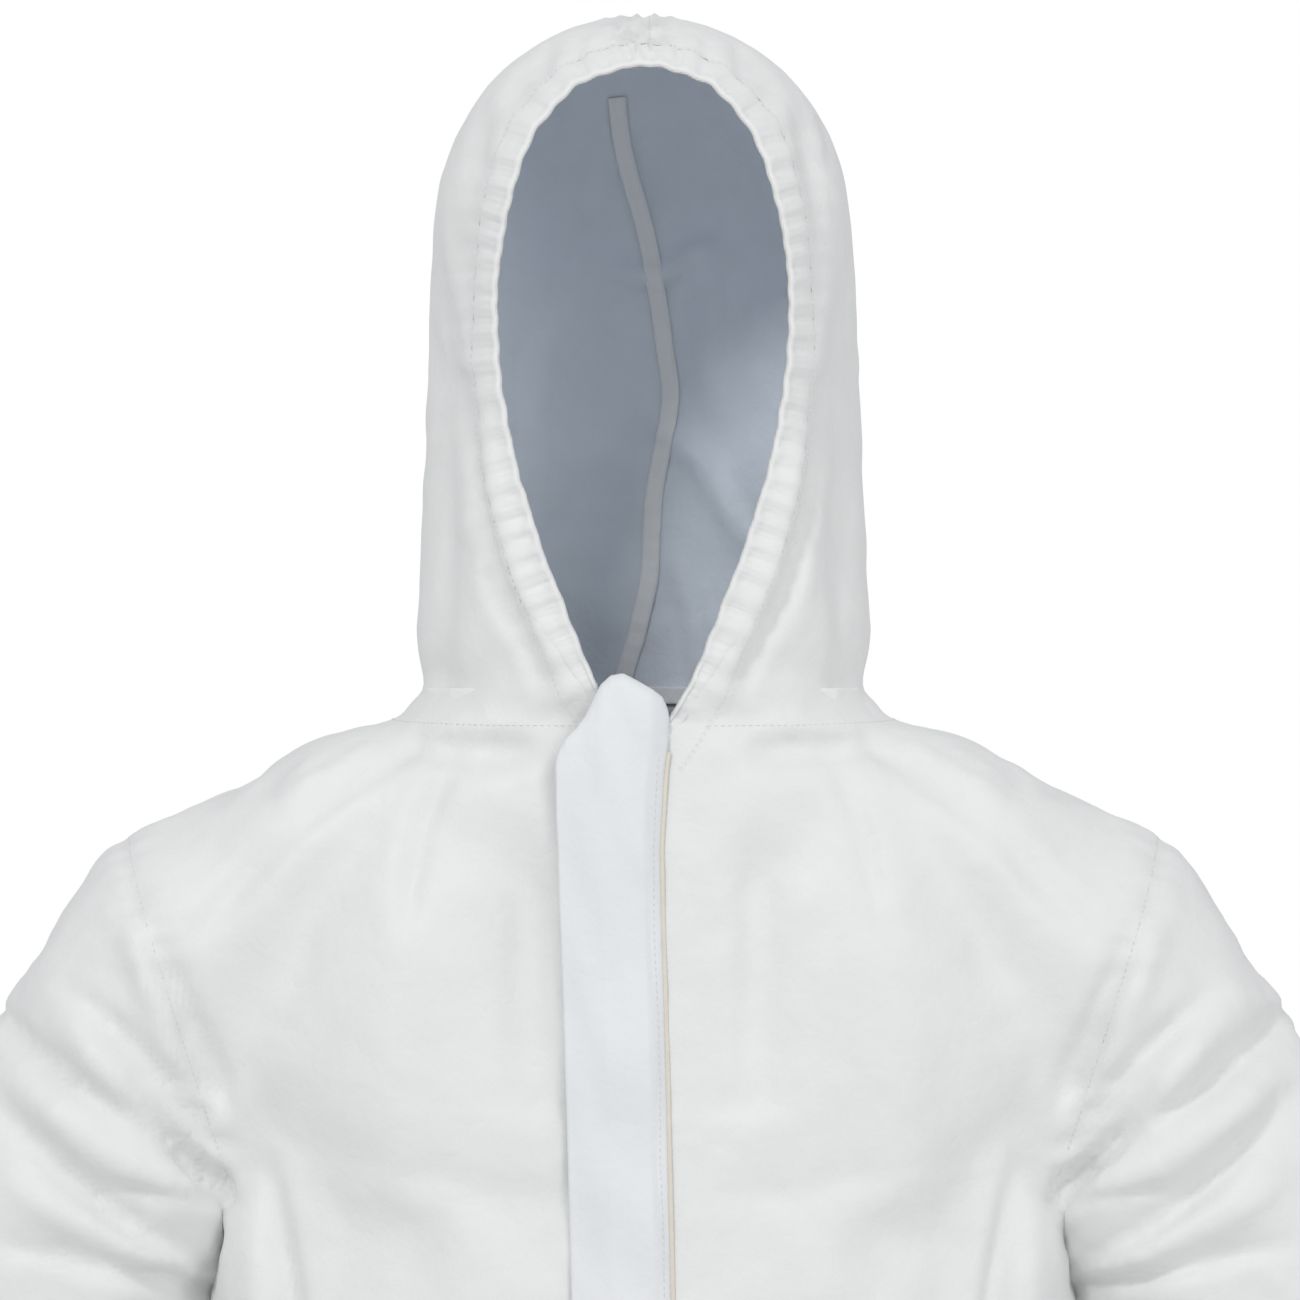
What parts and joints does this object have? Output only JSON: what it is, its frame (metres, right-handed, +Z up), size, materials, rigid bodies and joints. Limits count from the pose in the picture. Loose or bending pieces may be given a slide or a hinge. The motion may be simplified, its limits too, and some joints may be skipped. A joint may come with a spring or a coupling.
{
  "type": "chemical protective suit",
  "caption": "White hooded disposable chemical protective coverall, filled out as worn, with a storm flap over a front zip and elastic at face, waist, wrists and ankles.",
  "frame": {"origin": "centre of the neck seam, where the suit hangs on the wearer", "axes": "+Z up to the crown of the hood, -Y the front, +X the wearer's left"},
  "size_m": [1.0958, 0.2692, 1.74],
  "materials": {
    "cloth": "matt microporous laminate",
    "binding": "matt overlocked binding",
    "elastic": "matt knitted elastic",
    "zip": "woven tape and nylon coil",
    "slider": "satin white",
    "adhesive": "release film over tape",
    "label": "matt"
  },
  "bodies": {
    "torso": {"left_back_panel": "cloth", "left_front_panel": "cloth", "left_hood_neck": "cloth", "left_seat_panel": "cloth", "left_sleeve_cap": "cloth", "left_top_stop": "zip", "left_zip_tape": "zip", "left_zip_teeth": "zip", "right_back_panel": "cloth", "right_front_panel": "cloth", "right_hood_neck": "cloth", "right_seat_panel": "cloth", "right_sleeve_cap": "cloth", "right_top_stop": "zip", "right_zip_tape": "zip", "right_zip_teeth": "zip", "crotch_gusset": "cloth", "neck_seam_tape": "binding", "size_label": "label", "waist_elastic": "elastic", "zip_bottom_stop": "zip", "inner_zip_guard": "cloth", "flap_seam_strip": "cloth"},
    "hood": {"left_hood_panel": "cloth", "right_hood_panel": "cloth", "face_hem": "cloth", "face_elastic": "elastic", "hood_seam_binding": "binding"},
    "flap": {"storm_flap": "cloth", "flap_adhesive_strip": "adhesive"},
    "slider": {"zip_slider": "slider"},
    "tab": {"zip_pull_tab": "slider"},
    "left_upper_arm": {"left_upper_sleeve": "cloth", "left_elbow": "cloth"},
    "left_forearm": {"left_lower_sleeve": "cloth", "left_wrist_cuff": "cloth", "left_wrist_elastic": "elastic"},
    "left_upper_leg": {"left_thigh": "cloth", "left_knee": "cloth"},
    "left_shin": {"left_lower_leg": "cloth", "left_ankle_cuff": "cloth", "left_ankle_elastic": "elastic"},
    "right_upper_arm": {"right_upper_sleeve": "cloth", "right_elbow": "cloth"},
    "right_forearm": {"right_lower_sleeve": "cloth", "right_wrist_cuff": "cloth", "right_wrist_elastic": "elastic"},
    "right_upper_leg": {"right_thigh": "cloth", "right_knee": "cloth"},
    "right_shin": {"right_lower_leg": "cloth", "right_ankle_cuff": "cloth", "right_ankle_elastic": "elastic"}
  },
  "joints": [
    {"name": "hood_fold", "type": "hinge", "parent": "torso", "child": "hood", "pos_m": [0, 0.095, 0.025], "axis": [-1, 0, 0], "range_deg": [0, 80], "deforming": ["left_hood_neck", "right_hood_neck"]},
    {"name": "storm_flap_open", "type": "hinge", "parent": "torso", "child": "flap", "pos_m": [0.0134, -0.10785, -0.31547], "axis": [0, 0.0562, 0.9984], "range_deg": [0, 140], "deforming": ["storm_flap", "flap_adhesive_strip"]},
    {"name": "zip_slide", "type": "slide", "parent": "torso", "child": "slider", "axis": [0, -0.0562, -0.9984], "range_m": [0, 0.6], "deforming": ["left_zip_teeth", "right_zip_teeth"]},
    {"name": "pull_tab_swing", "type": "hinge", "parent": "slider", "child": "tab", "pos_m": [0, -0.09319, -0.02458], "axis": [-1, 0, 0], "range_deg": [0, 18]},
    {"name": "left_shoulder_raise", "type": "hinge", "parent": "torso", "child": "left_upper_arm", "pos_m": [0.225, 0.005, -0.125], "axis": [0, -1, 0], "range_deg": [-3, 60], "deforming": ["left_sleeve_cap"]},
    {"name": "left_elbow_bend", "type": "hinge", "parent": "left_upper_arm", "child": "left_forearm", "pos_m": [0.37, 0.005, -0.37615], "axis": [-0.866, 0, -0.5], "range_deg": [0, 95], "deforming": ["left_elbow"]},
    {"name": "left_hip_bend", "type": "hinge", "parent": "torso", "child": "left_upper_leg", "pos_m": [0.112, 0, -0.64], "axis": [-1, 0, 0], "range_deg": [-15, 90], "deforming": ["left_seat_panel"]},
    {"name": "left_knee_bend", "type": "hinge", "parent": "left_upper_leg", "child": "left_shin", "pos_m": [0.123, 0, -0.975], "axis": [1, 0, 0], "range_deg": [0, 85], "deforming": ["left_knee"]},
    {"name": "right_shoulder_raise", "type": "hinge", "parent": "torso", "child": "right_upper_arm", "pos_m": [-0.225, 0.005, -0.125], "axis": [0, 1, 0], "range_deg": [-3, 60], "deforming": ["right_sleeve_cap"]},
    {"name": "right_elbow_bend", "type": "hinge", "parent": "right_upper_arm", "child": "right_forearm", "pos_m": [-0.37, 0.005, -0.37615], "axis": [-0.866, 0, 0.5], "range_deg": [0, 95], "deforming": ["right_elbow"]},
    {"name": "right_hip_bend", "type": "hinge", "parent": "torso", "child": "right_upper_leg", "pos_m": [-0.112, 0, -0.64], "axis": [-1, 0, 0], "range_deg": [-15, 90], "deforming": ["right_seat_panel"]},
    {"name": "right_knee_bend", "type": "hinge", "parent": "right_upper_leg", "child": "right_shin", "pos_m": [-0.123, 0, -0.975], "axis": [1, 0, 0], "range_deg": [0, 85], "deforming": ["right_knee"]}
  ]
}
